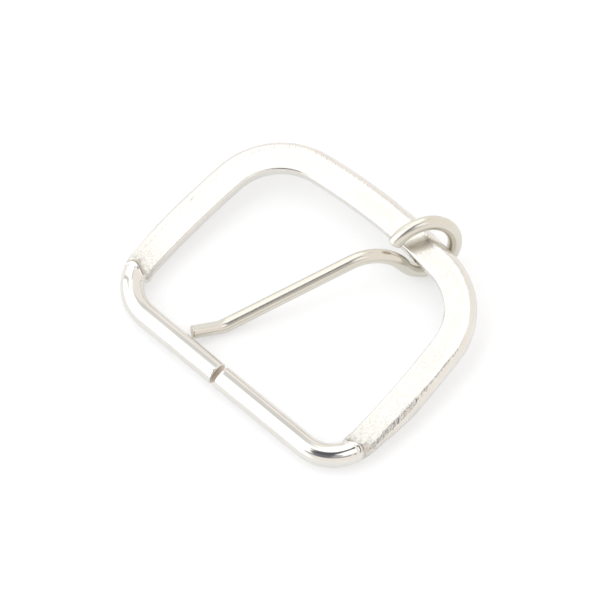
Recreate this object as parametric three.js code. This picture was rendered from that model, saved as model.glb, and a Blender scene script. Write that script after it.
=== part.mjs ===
// A wire buckle for a 40 mm belt: one bent and part-flattened wire frame, and one loose wire prong whose
// eye is curled round the frame's flat side.
// Millimetres and degrees. X runs along the frame's round bar, Y from that bar to the arched far side,
// and Z up, square to the frame. The frame's underside is one plane, and the prong's eye hangs below it.
import * as THREE from "three";

// The frame's wire, and its outline along the middle of the wire.
const WIRE_D = 4;
const BAR_HALF = 17.5; // straight round bar, from its middle to a near corner
const NEAR_R = 7.15;
const NEAR_TURN = 88.9;
const SIDE_R = 189; // each side bows out a little
const SIDE_TURN = 6.3;
const FAR_R = 11.9;
const FAR_TURN = 77.2; // what is left of the half turn is the far side's shallow arch
const GAP = 0.87; // between the wire's two ends, in the round bar
const GAP_X = -1.22;
const END_CHAMFER = 0.25;

// The pressed part of the frame, from one lip round the far side to the other.
const FLAT_T = 2.5;
const FLAT_HALF = 2.72;
const SHOULDER_OUT = 1.3; // worn round by polishing
const SHOULDER_IN = 0.4;
const FOOT_R = 0.8;
const LIP_TURN = 68; // where the press stopped, as degrees of the near corner
const LIP_RUN = 0.9; // length of the step down from the round wire
const FLARE_IN = 4; // run over which the pressed wire spreads inwards
const FLARE_OUT = 12; // and outwards

// The prong: its path starts at the tip and ends at the eye's cut end.
const PRONG_D = 2.4;
const TIP_L = 4.7;
const TIP_BEND = 22.9; // the tip turns up from the line of the shaft
const TIP_BEND_R = 4.1;
const FACET_T = 1.85; // the tip's thickness under its flat
const FACET_TURN = 13; // how far round the prong the flat is, towards the left
const SHAFT_L = 22.4;
const HUMP_R = 7.8;
const HUMP_TURN = -71;
const DROP_L = 0.8;
const EYE_R = 4.95;
const EYE_TURN = 240.5;
const TAIL_R = 7.45;
const TAIL_TURN = 43.4;

// How the prong lies on the frame: the centre of its eye, which is its pivot, and its attitude.
const EYE_CENTRE = [9.45, 39.2, 1.93];
const SKEW = 65.6; // from +X to the shaft's direction, seen from above
const SLOPE = 9; // the shaft climbs towards the eye
const LEAN = 25; // the prong's own plane leans from upright

// How finely curves are cut.
const ARC_STEP = 9;
const BOW_STEP = 6; // along an arc too shallow for ARC_STEP to matter
const CORNER_CUTS = [0, 30, 60, 90];
const ROUND_CUTS = [7, 35, 59, 83];
const PRONG_SIDES = 16;

const rad = THREE.MathUtils.degToRad;
const lerp = THREE.MathUtils.lerp;
const smooth = THREE.MathUtils.smoothstep;

// A flat path is a list of stretches, each straight or an arc, with its turn positive to the left.
const straight = (length) => ({ length, turn: 0 });
const arc = (radius, turn) => ({ length: radius * rad(Math.abs(turn)), turn: rad(turn) });

// The point and heading at distance s along a path that starts at the origin.
function follow(path, s, startHeading = 0) {
  let x = 0;
  let y = 0;
  let heading = startHeading;
  let left = s;
  for (const { length, turn } of path) {
    const run = Math.min(left, length);
    const bend = (turn * run) / length;
    const chord = bend ? (2 * run * Math.sin(bend / 2)) / bend : run;
    x += chord * Math.cos(heading + bend / 2);
    y += chord * Math.sin(heading + bend / 2);
    heading += bend;
    left -= run;
    if (left <= 0) break;
  }
  return { x, y, heading };
}

// Distances along a path at which to cut it: the ends of its stretches and even steps along its arcs.
function cuts(path) {
  const found = [0];
  let start = 0;
  for (const { length, turn } of path) {
    const steps = turn ? Math.ceil(Math.max(Math.abs(turn) / rad(ARC_STEP), length / BOW_STEP)) : 1;
    for (let i = 1; i <= steps; i++) found.push(start + (length * i) / steps);
    start += length;
  }
  return found;
}

// A closed solid through a row of rings of points, each ring clockwise when seen from the last one.
function loft(rings) {
  const sides = rings[0].length;
  const index = [];
  for (let i = 0; i + 1 < rings.length; i++) {
    for (let k = 0; k < sides; k++) {
      const a = i * sides + k;
      const b = i * sides + ((k + 1) % sides);
      index.push(a, b + sides, b, a, a + sides, b + sides);
    }
  }
  const last = (rings.length - 1) * sides;
  for (let k = 1; k + 1 < sides; k++) {
    index.push(0, k, k + 1);
    index.push(last, last + k + 1, last + k);
  }
  const geometry = new THREE.BufferGeometry().setFromPoints(rings.flat());
  geometry.setIndex(index);
  geometry.computeVertexNormals();
  return geometry;
}

// Sections of the frame as [out, up] points: out from the middle of the wire, up from the underside.
// Each goes round from the outer wall over the top, and has four points to a corner.
const QUARTERS = [
  { out: 1, up: 1 },
  { out: -1, up: 1 },
  { out: -1, up: -1 },
  { out: 1, up: -1 },
];

function roundSection() {
  const r = WIRE_D / 2;
  return QUARTERS.flatMap(({ out, up }) => {
    const angles = out * up > 0 ? ROUND_CUTS : [...ROUND_CUTS].reverse();
    return angles.map((a) => [out * r * Math.cos(rad(a)), r + up * r * Math.sin(rad(a))]);
  });
}

// A bar of rectangular section whose corners are quarter ellipses of the given [width, height].
function barSection(half, corners) {
  return QUARTERS.flatMap(({ out, up }, q) => {
    const [w, h] = corners[q];
    const angles = out * up > 0 ? CORNER_CUTS : [...CORNER_CUTS].reverse();
    return angles.map((a) => {
      const across = half - w * (1 - Math.cos(rad(a)));
      const rise = h * (1 - Math.sin(rad(a)));
      return [out * across, up > 0 ? FLAT_T - rise : rise];
    });
  });
}

const WHOLE = roundSection();
// The round wire with its top pressed off, before it spreads.
const cutHalf = Math.sqrt((WIRE_D / 2) ** 2 - (FLAT_T - WIRE_D / 2) ** 2);
const foot = [cutHalf - 0.05, WIRE_D / 2 - 0.05];
const PRESSED = barSection(cutHalf, [[0.2, 0.2], [0.1, 0.1], foot, foot]);
const SPREAD = barSection(FLAT_HALF, [
  [SHOULDER_OUT, SHOULDER_OUT],
  [SHOULDER_IN, SHOULDER_IN],
  [FOOT_R, FOOT_R],
  [FOOT_R, FOOT_R],
]);

const blend = (a, b, t) => a.map(([out, up], k) => [lerp(out, b[k][0], t), lerp(up, b[k][1], t)]);

// Half of the frame's outline, from the middle of the round bar to the middle of the far side.
const corners = [straight(BAR_HALF), arc(NEAR_R, NEAR_TURN), arc(SIDE_R, SIDE_TURN), arc(FAR_R, FAR_TURN)];
const ARCH_TURN = 180 - NEAR_TURN - SIDE_TURN - FAR_TURN;
const total = (path) => path.reduce((sum, stretch) => sum + stretch.length, 0);
const ARCH_R = follow(corners, total(corners)).x / Math.sin(rad(ARCH_TURN));
const half = [...corners, arc(ARCH_R, ARCH_TURN)];
const LIP_S = BAR_HALF + NEAR_R * rad(LIP_TURN);

function frameSection(s) {
  const pressed = blend(WHOLE, PRESSED, smooth(s, LIP_S - LIP_RUN / 2, LIP_S + LIP_RUN / 2));
  const inner = smooth(s, LIP_S, LIP_S + FLARE_IN);
  const outer = smooth(s, LIP_S, LIP_S + FLARE_OUT);
  return pressed.map(([out, up], k) => {
    const t = out < 0 ? inner : outer;
    return [lerp(out, SPREAD[k][0], t), lerp(up, SPREAD[k][1], t)];
  });
}

// side is 1 for the right half of the frame and -1 for the left.
function frameRing(s, side, scale = 1) {
  const { x, y, heading } = follow(half, s);
  return frameSection(s).map(([out, up]) => {
    const u = out * scale;
    const z = WIRE_D / 2 + (up - WIRE_D / 2) * scale;
    return new THREE.Vector3(side * (x + u * Math.sin(heading)), y - u * Math.cos(heading), z);
  });
}

// Rings from the gap to the middle of the far side.
function halfFrame(start, side) {
  const lip = [-0.5, -0.2, 0, 0.2, 0.5].map((f) => LIP_S + f * LIP_RUN);
  const spreading = [0.25, 0.5, 0.75, 1].map((f) => LIP_S + FLARE_IN * f);
  const near = (s, other) => Math.abs(s - other) < 0.4;
  const extra = [...lip, ...spreading];
  const plain = cuts(half).filter((s) => s > start + 1 && !extra.some((e) => near(s, e)));
  const stops = [start + END_CHAMFER, ...plain, ...extra].sort((a, b) => a - b);
  const tapered = 1 - (2 * END_CHAMFER) / WIRE_D;
  return [frameRing(start, side, tapered), ...stops.map((s) => frameRing(s, side))];
}

function frameGeometry() {
  const right = halfFrame(GAP_X + GAP / 2, 1);
  const left = halfFrame(GAP / 2 - GAP_X, -1);
  left.pop(); // both halves end on the same ring
  return loft([...right, ...left.reverse()]);
}

// The prong lies in its own XY plane, shaft along X, with the centre of its eye at the origin.
const prongPath = [
  straight(TIP_L),
  arc(TIP_BEND_R, TIP_BEND),
  straight(SHAFT_L),
  arc(HUMP_R, HUMP_TURN),
  straight(DROP_L),
  arc(EYE_R, EYE_TURN),
  arc(TAIL_R, TAIL_TURN),
];
const prongAt = (s) => follow(prongPath, s, -rad(TIP_BEND));

function prongRing(s, centre, scale = 1) {
  const { x, y, heading } = prongAt(s);
  const r = PRONG_D / 2;
  // the flat on the tip runs out where the shaft begins
  const top = lerp(FACET_T - r, r, smooth(s, TIP_L, TIP_L + TIP_BEND_R));
  return Array.from({ length: PRONG_SIDES }, (_, k) => {
    const a = (2 * Math.PI * k) / PRONG_SIDES;
    const over = Math.max(r * Math.sin(a - rad(FACET_TURN)) - top, 0);
    const up = scale * (r * Math.sin(a) - over * Math.cos(rad(FACET_TURN)));
    const side = scale * (r * Math.cos(a) + over * Math.sin(rad(FACET_TURN)));
    return new THREE.Vector3(
      x - up * Math.sin(heading) - centre.x,
      y + up * Math.cos(heading) - centre.y,
      side,
    );
  });
}

function prongGeometry() {
  const beforeEye = prongAt(total(prongPath.slice(0, 5)));
  const centre = {
    x: beforeEye.x - EYE_R * Math.sin(beforeEye.heading),
    y: beforeEye.y + EYE_R * Math.cos(beforeEye.heading),
  };
  const end = total(prongPath);
  const tapered = 1 - (2 * END_CHAMFER) / PRONG_D;
  const stops = cuts(prongPath).slice(1, -1);
  return loft([
    prongRing(0, centre, tapered),
    prongRing(END_CHAMFER, centre),
    ...stops.map((s) => prongRing(s, centre)),
    prongRing(end - END_CHAMFER, centre),
    prongRing(end, centre, tapered),
  ]);
}

function piece(name, geometry, color, roughness) {
  const material = new THREE.MeshStandardMaterial({ color, roughness, metalness: 1 });
  const mesh = new THREE.Mesh(geometry, material);
  mesh.name = name;
  return mesh;
}

const buckle = new THREE.Group();
buckle.add(piece("wire_frame", frameGeometry(), 0xd9d5cc, 0.28));

// The prong swings about this group's own Z axis, which runs through the eye.
const pivot = new THREE.Group();
pivot.position.set(...EYE_CENTRE);
pivot.rotation.set(rad(90 - LEAN), -rad(SLOPE), rad(SKEW), "ZYX");
pivot.add(piece("wire_prong", prongGeometry(), 0xcfcbc2, 0.15));
buckle.add(pivot);

// The origin is the middle of the buckle's box, level with its lowest point.
const box = new THREE.Box3().setFromObject(buckle, true);
const middle = box.getCenter(new THREE.Vector3());
buckle.position.set(-middle.x, -middle.y, -box.min.z);

export default buckle;
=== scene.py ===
# The looks of a nickel plated wire belt buckle: a part-flattened wire frame and its loose wire prong.
# Shapes are worked out in millimetres from the underside of the frame and the middle of its round bar,
# as in the CAD, and turned into metres in the CAD's frame when each mesh is made.
import math

import bpy
import numpy as np
from mathutils import Euler, Matrix, Vector, noise


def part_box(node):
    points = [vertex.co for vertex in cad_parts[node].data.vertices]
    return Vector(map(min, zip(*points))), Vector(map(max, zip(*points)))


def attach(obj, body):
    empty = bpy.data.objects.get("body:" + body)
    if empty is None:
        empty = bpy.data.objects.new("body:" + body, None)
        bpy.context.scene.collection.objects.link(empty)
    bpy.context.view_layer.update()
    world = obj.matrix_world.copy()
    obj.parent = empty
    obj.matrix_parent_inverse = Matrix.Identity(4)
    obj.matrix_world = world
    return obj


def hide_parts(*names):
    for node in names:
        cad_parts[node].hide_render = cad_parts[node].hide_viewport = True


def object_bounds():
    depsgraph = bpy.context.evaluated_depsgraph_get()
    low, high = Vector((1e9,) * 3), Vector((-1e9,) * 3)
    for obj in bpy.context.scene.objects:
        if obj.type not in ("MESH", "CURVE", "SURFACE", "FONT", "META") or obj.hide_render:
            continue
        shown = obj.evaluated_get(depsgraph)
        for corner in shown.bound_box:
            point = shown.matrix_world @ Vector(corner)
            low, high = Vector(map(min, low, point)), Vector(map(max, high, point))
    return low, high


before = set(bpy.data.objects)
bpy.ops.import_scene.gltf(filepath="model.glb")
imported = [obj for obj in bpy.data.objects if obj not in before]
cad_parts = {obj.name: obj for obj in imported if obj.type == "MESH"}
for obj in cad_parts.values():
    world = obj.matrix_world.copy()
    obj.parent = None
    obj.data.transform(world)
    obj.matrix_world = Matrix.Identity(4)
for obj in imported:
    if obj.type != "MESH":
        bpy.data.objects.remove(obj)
cad_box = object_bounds()

MM = 0.001
SKIN = 0.002 * MM  # how far the meshes keep inside the CAD's box
rad = math.radians

# The frame's wire and outline, each stretch a length and a turn to the left.
WIRE_R = 2.0
BAR_HALF, NEAR_R = 17.5, 7.15
HALF = [
    (BAR_HALF, 0.0),
    (NEAR_R * rad(88.9), rad(88.9)),
    (189 * rad(6.3), rad(6.3)),
    (11.9 * rad(77.2), rad(77.2)),
]
GAP, GAP_X = 0.87, -1.22
END_ROUND = 0.16
END_CUTS = np.array([0.0, 0.05, 0.15, 0.3, 0.55, 1.0])  # as shares of END_ROUND
LIP_S = BAR_HALF + NEAR_R * rad(68)
FLAT_T, FLAT_HALF = 2.5, 2.72
SHOULDER_OUT, SHOULDER_IN, FOOT_R = 1.3, 0.4, 0.8
SHOULDER_BEVEL = 0.6  # on the right, where the polishing left a bevel

# The prong's path from its tip, in its own plane, and how that plane lies.
PRONG_R = 1.2
TIP_L, TIP_BEND, TIP_BEND_R = 4.7, rad(22.9), 4.1
FACET_TOP, FACET_TURN = 0.68, rad(20)
FACET_BEFORE, FACET_RUN = 0.4, 2.2  # where the tip's flat starts to run out, and over what length
PRONG_END, PRONG_END_SLOPE = 0.25, 0.8  # the round of its cut ends, and how much of it the flat takes
PRONG_SIDES, PRONG_STEP = 72, 0.22
PRONG_CUTS = np.array([0.0, 0.03, 0.08, 0.15, PRONG_END])  # rings by each cut end
BEFORE_EYE = 5  # stretches
EYE_R = 4.95
PRONG = [
    (TIP_L, 0.0),
    (TIP_BEND_R * TIP_BEND, TIP_BEND),
    (22.4, 0.0),
    (7.8 * rad(71), -rad(71)),
    (0.8, 0.0),
    (EYE_R * rad(240.5), rad(240.5)),
    (7.45 * rad(43.4), rad(43.4)),
]
EYE_CENTRE = Vector((9.45, 39.2, 1.93))
SKEW, SLOPE, LEAN = rad(65.6), rad(9), rad(25)

# The CAD's origin: its round bar is faceted, so its outer wall is a little inside the wire's radius.
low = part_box("wire_frame")[0] / MM
SHIFT = Vector((0, low.y + WIRE_R * math.cos(rad(7)), low.z))


def follow(path, s, heading=0.0):
    """The point and heading at distance s along a path of stretches."""
    x = y = 0.0
    for length, turn in path:
        run = min(s, length)
        bend = turn * run / length
        chord = 2 * run * math.sin(bend / 2) / bend if bend else run
        x += chord * math.cos(heading + bend / 2)
        y += chord * math.sin(heading + bend / 2)
        heading += bend
        s -= run
        if s <= 0:
            break
    return x, y, heading


def length_of(path):
    return sum(length for length, _ in path)


def smooth(t):
    t = np.clip(t, 0, 1)
    return t * t * (3 - 2 * t)


def mix(a, b, t):
    return a + (b - a) * t


# The far side is an arch that takes up what is left of the half turn.
x_end, _, turned = follow(HALF, length_of(HALF))
arch_turn = math.pi - turned
HALF.append((x_end / math.sin(arch_turn) * arch_turn, arch_turn))
HALF_L = length_of(HALF)


def make_piece(name, rings, wrap, body, node, material, masks):
    """A closed tube through rings of points in millimetres, with a wrap of (along, around) in millimetres.

    masks holds named values from 0 to 1 for every point, which the material reads.
    """
    rings = np.asarray(rings, float)
    count, sides = rings.shape[:2]
    points = (rings.reshape(-1, 3) + np.array(SHIFT)) * MM
    points = np.clip(points, np.array(cad_box[0]) + SKIN, np.array(cad_box[1]) - SKIN)
    faces = []
    for i in range(count - 1):
        for k in range(sides):
            n = (k + 1) % sides
            faces.append((i * sides + k, i * sides + n, (i + 1) * sides + n, (i + 1) * sides + k))
    last = (count - 1) * sides
    faces.append(tuple(reversed(range(sides))))
    faces.append(tuple(last + k for k in range(sides)))
    mesh = bpy.data.meshes.new(name)
    mesh.from_pydata(points.tolist(), [], faces)
    along, around = wrap
    spread_out = np.stack([along, around, 0 * along], -1).reshape(-1).astype(np.float32)
    mesh.attributes.new("wrap", "FLOAT_VECTOR", "POINT").data.foreach_set("vector", spread_out)
    for key, values in masks.items():
        layer = mesh.attributes.new(key, "FLOAT", "POINT")
        layer.data.foreach_set("value", values.reshape(-1).astype(np.float32))
    mesh.materials.append(material)
    mesh.shade_smooth()
    for end in mesh.polygons[-2:]:
        end.use_smooth = False
    mesh.validate()
    mesh.update()
    piece = bpy.data.objects.new(name, mesh)
    bpy.context.scene.collection.objects.link(piece)
    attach(piece, body)
    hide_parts(node)


# ---------------------------------------------------------------- the frame's section
EDGE = 16  # points round each corner of the flat bar, before they are spaced out evenly
SIDES = 128  # points round the frame's wire


def corner(r, out, up):
    """Points round one corner of the flat bar, in the order that goes round the bar."""
    a = np.linspace(0, math.pi / 2, EDGE)
    across = FLAT_HALF - r * (1 - np.cos(a))
    rise = r * (1 - np.sin(a))
    pts = np.stack([out * across, (FLAT_T - rise) if up > 0 else rise], 1)
    return pts if out * up > 0 else pts[::-1]


def resample(points, n):
    """n points evenly spaced round a closed outline."""
    closed = np.vstack([points, points[:1]])
    step = np.hypot(*np.diff(closed, axis=0).T)
    at = np.concatenate([[0], np.cumsum(step)])
    want = np.linspace(0, at[-1], n, endpoint=False)
    return np.stack([np.interp(want, at, closed[:, j]) for j in (0, 1)], 1)


def bar_outline(shoulder):
    """The flat bar's outline, from the middle of its outer wall."""
    middle = np.array([[FLAT_HALF, (FOOT_R + FLAT_T - shoulder) / 2]])
    top = [corner(shoulder, 1, 1), corner(SHOULDER_IN, -1, 1)]
    foot = [corner(FOOT_R, -1, -1), corner(FOOT_R, 1, -1)]
    return resample(np.vstack([middle, *top, *foot]), SIDES)


flat_ring = bar_outline(SHOULDER_OUT)
bevel_ring = bar_outline(SHOULDER_BEVEL)
# The round wire's angle that goes with each point of the flat bar, whose height is stretched to match.
HEIGHT_STRETCH = 1.6
angle = np.unwrap(np.arctan2((flat_ring[:, 1] - FLAT_T / 2) * HEIGHT_STRETCH, flat_ring[:, 0]))
round_ring = np.stack([WIRE_R * np.cos(angle), WIRE_R + WIRE_R * np.sin(angle)], 1)

# The lip, where the press stopped: the length of its step, how far past LIP_S it is at the wire's middle,
# and how it runs across the wire.
LIP_RUN = 0.33
LIP_BOW = (1.05, 0.85, -1.5)
BEADS = [(0.09, -0.16, 0.15), (0.035, -0.9, 0.22)]  # ridges on the wire by the lip: height, place, width
BEAD_FROM, BEAD_RISE = 1.4, 1.4  # heights over which the ridges come in
SAG_LEFT, SAG_RIGHT, SAG_RUN = 0.35, 0.1, 3.2  # the round wire's top sinks towards the lip
# Where the pressed wire starts to spread inwards, and the runs over which it spreads inwards and outwards.
FLARE_IN_AT, FLARE_IN, FLARE_OUT = -1.9, 1.8, 12.0
# The right side's bevel: where it starts across the pressed face, how softly, how steep, and where it ends.
BEVEL_FROM, BEVEL_EASE, BEVEL_SLOPE = 1.05, 0.25, 0.21
BEVEL_END, BEVEL_FADE = 50.0, 16.0
# The masks: the pressed face, its outer shoulder, and the patch beside the lip with its faint tail, partly
# real wear and pitting and partly painted shade behind the lip's step.
FACE_RUN, FACE_FROM, FACE_RISE = 0.3, 1.6, 0.5
STROKED_FROM, STROKED_FADE = 0.8, 0.8
TAIL, TAIL_LEFT, TAIL_RIGHT, TAIL_FADE = 0.1, 1.0, 18.0, 6.0
PATCH_L, PATCH_FADE = 1.2, 3
# Shallow dents in the pressed face, and waves along its walls.
DENT, DENT_L, DENT_SEED = 0.012, 2.6, 3.0
WAVE, WAVE_SCALE, WAVE_RUN, WAVE_SEED = 1.4 * DENT, 1.7, 2, 11.0
# Distances between rings: along the wire, and within FINE_BEFORE and FINE_AFTER of the lip.
STEP, FINE_STEP, FINE_BEFORE, FINE_AFTER = 0.3, 0.05, 2.2, 2.6
FIRST_STEP = 0.5


def wobble(points, seed):
    """Smooth noise from -1 to 1 at each of the points."""
    return np.array([noise.noise(Vector(p) + Vector((0, 0, seed))) for p in points])


def frame_section(s, side):
    """The section at distance s from the middle of the round bar: its points, and how pressed each is."""
    out, up = round_ring.T.copy()
    t = out / WIRE_R
    past = s - LIP_S - LIP_BOW[0] - LIP_BOW[1] * t - LIP_BOW[2] * t * t
    ridges = sum(h / WIRE_R * np.exp(-((past - at) / wide) ** 2) for h, at, wide in BEADS)
    bead = 1 + ridges * smooth((up - BEAD_FROM) / BEAD_RISE)
    sag = (SAG_RIGHT if side > 0 else SAG_LEFT) * smooth(past / SAG_RUN + 1) * smooth((up - WIRE_R) / WIRE_R)
    drop = 1 - np.exp(-np.maximum(past, 0) / LIP_RUN)
    up = mix(WIRE_R + (up - WIRE_R) * bead - sag, np.minimum(up, FLAT_T), drop)
    inner = smooth((s - LIP_S - FLARE_IN_AT) / FLARE_IN)
    spread = np.where(out < 0, inner, smooth((s - LIP_S) / FLARE_OUT))
    spread = spread * np.where(up > FLAT_T, drop, 1)
    bevel = float(smooth((BEVEL_END - s) / BEVEL_FADE)) if side > 0 else 0.0
    bar = mix(flat_ring, bevel_ring, bevel)
    out = mix(out * bead, bar[:, 0], spread)
    up = mix(up, bar[:, 1], spread)
    pressed = smooth(past / FACE_RUN) * smooth((up - FACE_FROM) / FACE_RISE)
    over = out - BEVEL_FROM
    up = up - bevel * BEVEL_SLOPE * (over + np.sqrt(over ** 2 + BEVEL_EASE ** 2)) / 2 * pressed
    return out, up, pressed


def frame_ring(s, side, shrink=0.0):
    """One ring of the frame, and its masks: the pressed face, its outer shoulder, and the patch beside the
    lip that is partly real wear and partly painted shade.
    """
    x, y, heading = follow(HALF, s)
    out, up, pressed = frame_section(s, side)
    if shrink:
        out = out * (1 - shrink / WIRE_R)
        up = WIRE_R + (up - WIRE_R) * (1 - shrink / WIRE_R)
    shoulder = pressed * smooth((out - STROKED_FROM) / STROKED_FADE)
    # The patch beside the lip is partly real wear and pitting and partly painted shade: darkest just past
    # the lip's step, with a faint tail along the pressed face.
    tail_l = TAIL_RIGHT if side > 0 else TAIL_LEFT
    tail = math.exp(-max(s - LIP_S - tail_l, 0) / TAIL_FADE)
    patch = math.exp(-max(s - LIP_S - PATCH_L, 0) / PATCH_FADE)
    wear_and_shade = pressed * (TAIL * tail + (1 - TAIL) * patch)
    along = np.full(SIDES, side * s) / DENT_L
    nothing = np.zeros(SIDES)
    dent = wobble(np.column_stack([along, out / DENT_L, nothing]), DENT_SEED)
    wave = wobble(np.column_stack([along * WAVE_SCALE, np.sign(out), nothing]), WAVE_SEED)
    up = up + DENT * dent * pressed
    out = out + WAVE * float(smooth((s - LIP_S) / WAVE_RUN)) * wave
    ring = np.stack([side * (x + out * math.sin(heading)), y - out * math.cos(heading), up], 1)
    return ring, pressed, shoulder, wear_and_shade


def frame_stations(first):
    """Where half of the frame's rings are: close together at the wire's end and by the lip."""
    coarse = np.arange(first + FIRST_STEP, HALF_L, STEP)
    fine = np.arange(LIP_S - FINE_BEFORE, LIP_S + FINE_AFTER, FINE_STEP)
    coarse = coarse[(coarse < fine[0] - FINE_STEP) | (coarse > fine[-1] + FINE_STEP)]
    return np.sort(np.concatenate([first + END_ROUND * END_CUTS, coarse, fine]))


def frame_mesh(material):
    """One closed ring of wire from the gap round to the gap again."""
    halves = []
    for side, first in ((1, GAP_X + GAP / 2), (-1, GAP / 2 - GAP_X)):
        half = []
        for s in frame_stations(first):
            left = 1 - min((s - first) / END_ROUND, 1)
            shrink = END_ROUND * (1 - math.sqrt(1 - left ** 2))
            half.append((side * s, *frame_ring(s, side, shrink), float(s == first)))
        halves.append(half)
    middle = [(HALF_L, *frame_ring(HALF_L, 1), 0.0)]
    back = [(2 * HALF_L + at, *rest) for at, *rest in halves[1][::-1]]
    rows = (halves[0] + middle + back)[::-1]
    along = np.array([row[0] for row in rows])
    around = np.arange(SIDES) * (2 * math.pi * WIRE_R / SIDES)
    along, around = np.meshgrid(along, around, indexing="ij")
    masks = {
        "pressed": np.array([row[2] for row in rows]),
        "shoulder": np.array([row[3] for row in rows]),
        "wear_and_shade": np.array([row[4] for row in rows]),
        "cut": np.repeat([[row[5]] for row in rows], SIDES, 1),
    }
    rings = [row[1] for row in rows]
    make_piece("plated_frame", rings, (along, around), "frame", "wire_frame", material, masks)


# ---------------------------------------------------------------- the prong
def prong_mesh(material):
    """The prong's wire from its tip to the eye's cut end, made about the eye's centre."""
    total = length_of(PRONG)
    ex, ey, eh = follow(PRONG, length_of(PRONG[:BEFORE_EYE]), -TIP_BEND)
    centre = (ex - EYE_R * math.sin(eh), ey + EYE_R * math.cos(eh))
    place = Euler((rad(90) - LEAN, -SLOPE, SKEW), "XYZ").to_matrix()
    between = np.arange(0.45, total - 0.4, PRONG_STEP)
    stations = np.concatenate([PRONG_CUTS, between, total - PRONG_CUTS[::-1]])
    a = np.linspace(0, 2 * math.pi, PRONG_SIDES, endpoint=False)
    rings = []
    flatness = []
    for s in stations:
        x, y, h = follow(PRONG, s, -TIP_BEND)
        left = 1 - min(min(s, total - s) / PRONG_END, 1)
        shrink = PRONG_END * (1 - math.sqrt(1 - left ** 2))
        w = 1 - float(smooth((s - TIP_L + FACET_BEFORE) / FACET_RUN))
        r = PRONG_R - shrink
        top = mix(PRONG_R, FACET_TOP, w) - shrink * PRONG_END_SLOPE
        over = np.maximum(r * np.sin(a - FACET_TURN) - top, 0)
        up = r * np.sin(a) - over * math.cos(FACET_TURN)
        side = r * np.cos(a) + over * math.sin(FACET_TURN)
        flatness.append(w)
        local = np.stack([x - up * math.sin(h) - centre[0], y + up * math.cos(h) - centre[1], side], 1)
        rings.append(local @ np.array(place).T + np.array(EYE_CENTRE))
    around = np.arange(PRONG_SIDES) * (2 * math.pi * PRONG_R / PRONG_SIDES)
    along, around = np.meshgrid(stations, around, indexing="ij")
    on_top = smooth((np.sin(a - FACET_TURN) - 0.4) / 0.2)
    facet = np.array(flatness)[::-1, None] * on_top[None]
    cut = np.zeros_like(facet)
    cut[0] = cut[-1] = 1
    make_piece("plated_prong", rings[::-1], (along[::-1], around[::-1]), "prong", "wire_prong",
               material, {"pressed": facet, "cut": cut})


# ---------------------------------------------------------------- materials
class Graph:
    """A short way to write a node tree: each call adds a node and returns its output."""

    def __init__(self, tree):
        self.tree = tree

    def add(self, kind, out=0, sockets=(), **settings):
        made = self.tree.nodes.new(kind)
        for key, value in settings.items():
            setattr(made, key, value)
        for key, value in dict(sockets).items():
            if isinstance(value, bpy.types.NodeSocket):
                self.tree.links.new(value, made.inputs[key])
            else:
                made.inputs[key].default_value = value
        return made.outputs[out]

    def math(self, operation, a, b=0.0):
        return self.add("ShaderNodeMath", sockets={0: a, 1: b}, operation=operation)

    def ramp(self, value, low, high, to_low=0.0, to_high=1.0):
        return self.add("ShaderNodeMapRange", sockets={0: value, 1: low, 2: high, 3: to_low, 4: to_high},
                        interpolation_type="SMOOTHSTEP")

    def stretch(self, vector, scale):
        return self.add("ShaderNodeVectorMath", sockets={0: vector, 1: scale}, operation="MULTIPLY")

    def noise(self, vector, scale, detail=2.0, rough=0.5):
        return self.add("ShaderNodeTexNoise",
                        sockets={"Vector": vector, "Scale": scale, "Detail": detail, "Roughness": rough})

    def mask(self, name):
        return self.add("ShaderNodeAttribute", out="Fac", attribute_name=name)

    def mix(self, factor, a, b):
        return self.add("ShaderNodeMix", sockets={0: factor, 2: a, 3: b}, data_type="FLOAT")

    def tint(self, factor, a, b):
        """A mix of two colours, each one a socket or three numbers."""
        a, b = [(*colour, 1) if isinstance(colour, tuple) else colour for colour in (a, b)]
        return self.add("ShaderNodeMix", out=2, sockets={0: factor, 6: a, 7: b}, data_type="RGBA")


STROKE_AZ = rad(118)  # the way the polishing strokes run over the outer edge
# Sizes of the marks, in marks to the millimetre. LINES and STROKES are along and across the mark.
LINES, STROKES = (0.12, 5.0, 1.0), (0.6, 3.2, 1.0)
COARSE, FINE, CLOUDS, SPECKS = 2.6, 5.5, 0.22, 0.8
FINE_SHARE = 0.4
WORN_DEPTH = 5  # how many times deeper the skin's marks are in the patch beside the lip
PIT_TINT = 0.6
PITTED, POLISHED = 0.45, 0.13  # roughness of pits and cuts, and of the outer shoulder
NOISE = (0.3, 0.7)  # the range that most of a noise's values are in
CUT_METAL = (0.72, 0.65, 0.56)


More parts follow.
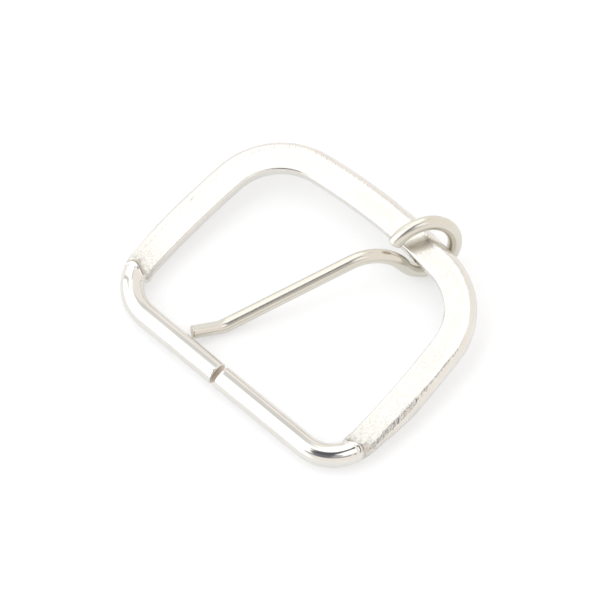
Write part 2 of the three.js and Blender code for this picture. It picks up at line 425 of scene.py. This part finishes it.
def nickel(name, plate, dull_and_shade, bare, gloss, satin, drawn, pebble, stroked=0.0):
    """Nickel plate on steel wire: drawing lines on the round wire, a pebbled satin skin on the pressed wire.

    plate is its colour; the next colour is the darker one for its random greyer tone and for the patch
    beside the lip, which is partly real wear and partly painted shade behind the lip's step; bare is the
    colour in its pits. gloss and satin are the roughness of the round and the pressed wire, and drawn and
    pebble the depths of their marks in millimetres. stroked is the depth of the strokes on the outer
    shoulder.
    """
    material = bpy.data.materials.new(name)
    material.use_nodes = True
    g = Graph(material.node_tree)
    shader = material.node_tree.nodes["Principled BSDF"]
    shader.inputs["Metallic"].default_value = 1

    spot = g.stretch(g.add("ShaderNodeTexCoord", out="Object"), (1000, 1000, 1000))
    wrap = g.add("ShaderNodeAttribute", out="Vector", attribute_name="wrap")
    pressed, shoulder, wear_and_shade, cut = (g.mask(key) for key in ("pressed", "shoulder", "wear_and_shade", "cut"))

    lines = g.noise(g.stretch(wrap, LINES), 1.0, 3.0, 0.6)
    coarse = g.noise(spot, COARSE)
    fine = g.noise(spot, FINE, 1.0)
    turned = g.add("ShaderNodeVectorRotate", sockets={"Vector": spot, "Angle": -STROKE_AZ},
                   rotation_type="Z_AXIS")
    strokes = g.noise(g.stretch(turned, STROKES), 1.0, 2.0, 0.6)
    clouds = g.noise(spot, CLOUDS, 3.0)
    speck = g.add("ShaderNodeTexVoronoi", out="Distance", sockets={"Vector": spot, "Scale": SPECKS})
    speck = g.math("MULTIPLY", g.ramp(speck, 0.04, 0.1, 1.0, 0.0), g.ramp(clouds, 0.5, 0.6))
    pit = g.math("MULTIPLY", speck, wear_and_shade)
    skin = g.mix(wear_and_shade, pebble, WORN_DEPTH * pebble)

    colour = g.tint(g.ramp(clouds, 0.35, 0.65, 0.0, 0.12), plate, dull_and_shade)
    # Painted shade and wear: the patch beside the lip is darkened towards the second colour, partly for real
    # wear and partly for the shade behind the lip's step.
    colour = g.tint(g.math("MULTIPLY", wear_and_shade, g.ramp(coarse, 0.35, 0.65, 0.6, 1.0)), colour, dull_and_shade)
    colour = g.tint(g.math("MULTIPLY", pit, PIT_TINT), colour, bare)
    colour = g.tint(cut, colour, CUT_METAL)
    g.tree.links.new(colour, shader.inputs["Base Color"])

    round_rough = g.ramp(lines, *NOISE, gloss - 0.03, gloss + 0.04)
    press_rough = g.ramp(coarse, *NOISE, satin - 0.05, satin + 0.07)
    rough = g.mix(pressed, round_rough, press_rough)
    rough = g.mix(shoulder, rough, POLISHED)
    rough = g.mix(g.math("MAXIMUM", pit, cut), rough, PITTED)
    g.tree.links.new(rough, shader.inputs["Roughness"])

    grain = g.math("ADD", coarse, g.math("MULTIPLY", fine, FINE_SHARE))
    height = g.mix(pressed, g.math("MULTIPLY", lines, drawn), g.math("MULTIPLY", grain, skin))
    edge = g.math("MULTIPLY", g.math("MULTIPLY", shoulder, strokes), stroked)
    height = g.math("ADD", height, edge)
    height = g.math("SUBTRACT", height, g.math("MULTIPLY", pit, pebble))
    bump = g.add("ShaderNodeBump", sockets={"Strength": 1.0, "Distance": MM, "Height": height})
    g.tree.links.new(bump, shader.inputs["Normal"])
    return material


frame_mesh(nickel(
    "nickel_frame", plate=(0.76, 0.74, 0.70), dull_and_shade=(0.50, 0.485, 0.45), bare=(0.52, 0.47, 0.40),
    gloss=0.08, satin=0.2, drawn=0.001, pebble=0.0012, stroked=0.075,
))
# The prong's plate is darker than the frame's as painted shade, for the shade its thin wire throws on
# itself; its yellower tint is its own.
prong_mesh(nickel(
    "nickel_prong", plate=(0.67, 0.645, 0.575), dull_and_shade=(0.62, 0.595, 0.53), bare=(0.40, 0.36, 0.30),
    gloss=0.23, satin=0.17, drawn=0.0012, pebble=0.0004,
))

# ---------------------------------------------------------------- floor, light and camera
# The buckle lies on its round bar and on the prong's eye, so the floor slopes in the frame of the part.
TILT = rad(5.66)
TO_FRAME = Matrix.Rotation(-TILT, 3, "X")


def in_frame(point):
    """A point measured in millimetres from the floor under the round bar's middle, as the part sees it."""
    return (TO_FRAME @ Vector(point) + SHIFT) * MM


FLOOR = 900  # from its middle to each edge
mesh = bpy.data.meshes.new("floor")
corners = [in_frame((x * FLOOR, y * FLOOR, 0)) for x, y in ((-1, -1), (1, -1), (1, 1), (-1, 1))]
mesh.from_pydata(corners, [], [(0, 1, 2, 3)])
floor = bpy.data.objects.new("floor", mesh)
bpy.context.scene.collection.objects.link(floor)
paper = bpy.data.materials.new("white_paper")
paper.use_nodes = True
matt = paper.node_tree.nodes["Principled BSDF"].inputs
matt["Base Color"].default_value = (0.59, 0.6, 0.61, 1)
matt["Roughness"].default_value = 0.9
matt["Emission Color"].default_value = (1, 1, 1, 1)
matt["Emission Strength"].default_value = 0.4
mesh.materials.append(paper)


def toward(azimuth, elevation):
    """A direction from the floor, in degrees, as the part sees it."""
    az, el = rad(azimuth), rad(elevation)
    return TO_FRAME @ Vector((math.cos(el) * math.cos(az), math.cos(el) * math.sin(az), math.sin(el)))


# The studio round the table: white walls, and bands of it that are lit more or less than they are.
# Each band runs from one direction to another, with a half width and a soft edge in degrees.
WALLS = (1.14, 1.09, 1.05)
BANDS = [  # from, to (azimuth, elevation), half width, soft edge, radiance
    ((-164, 50), (-125, -5), 34, 12, (1.9, 1.9, 1.9)),
    ((165, 44), (170, 18), 8, 6, (1.5, 1.5, 1.5)),
    ((148, 68), (-150, 82), 9, 8, (1.6, 1.6, 1.58)),
    ((-170, 50), (-171, -12), 3.5, 3, (0.84, 0.83, 0.80)),
    ((112, 40), (128, 66), 2, 6, (0.85, 0.85, 0.85)),
    ((-32, 74), (-26, 60), 8, 7, (1.5, 1.5, 1.5)),
    ((-52, 54), (-60, 60), 4, 6, (0.5, 0.5, 0.51)),
    ((-27, 38), (-94, 34), 3, 5, (0.42, 0.42, 0.44)),
    ((-81, 60), (-76, 50), 9, 4, (0.22, 0.225, 0.24)),
    ((-86, 67), (-98, 78), 6, 5, (0.14, 0.145, 0.17)),
    ((95, 86), (-105, 78), 4.5, 4.5, (0.13, 0.13, 0.15)),
]

world = bpy.data.worlds.new("studio")
bpy.context.scene.world = world
world.use_nodes = True
g = Graph(world.node_tree)
direction = g.add("ShaderNodeTexCoord", out="Generated")
light = WALLS
for start, end, half, edge, radiance in BANDS:
    one, two = toward(*start), toward(*end)
    middle = (one + two).normalized()
    reach = math.degrees(one.angle(two)) / 2 + half
    off = g.add("ShaderNodeVectorMath", out="Value", operation="DOT_PRODUCT",
                sockets={0: direction, 1: one.cross(two).normalized()})
    near = g.add("ShaderNodeVectorMath", out="Value", operation="DOT_PRODUCT",
                 sockets={0: direction, 1: middle})
    mask = g.math("MULTIPLY",
                  g.ramp(g.math("ABSOLUTE", off), math.sin(rad(half)), math.sin(rad(half + edge)), 1.0, 0.0),
                  g.ramp(near, math.cos(rad(reach + edge)), math.cos(rad(reach))))
    light = g.tint(mask, light, radiance)
g.tree.links.new(light, world.node_tree.nodes["Background"].inputs["Color"])

# The camera, placed as if the floor sloped by CAM_TILT, and what it looks at.
AZ, EL, DISTANCE = rad(41.97), rad(63.9), 727.8
CAM_TILT = rad(5.2)
LENS, SENSOR = 264.2, 36
back = Vector((math.sin(AZ) * math.cos(EL), -math.cos(AZ) * math.cos(EL), math.sin(EL)))
right = Vector((math.cos(AZ), math.sin(AZ), 0))
up = back.cross(right)
turn = Matrix.Rotation(-CAM_TILT, 3, "X")
target = Vector((-1.246, 19.596, 0))
camera = bpy.data.objects.new("camera", bpy.data.cameras.new("camera"))
bpy.context.scene.collection.objects.link(camera)
axes = Matrix((turn @ right, turn @ up, turn @ back)).transposed()
camera.matrix_world = Matrix.Translation((turn @ (target + back * DISTANCE) + SHIFT) * MM) @ axes.to_4x4()
camera.data.lens = LENS
camera.data.sensor_width = SENSOR
camera.data.clip_start = 0.01
bpy.context.scene.camera = camera
bpy.context.scene.view_settings.view_transform = "Standard"

bpy.context.view_layer.update()
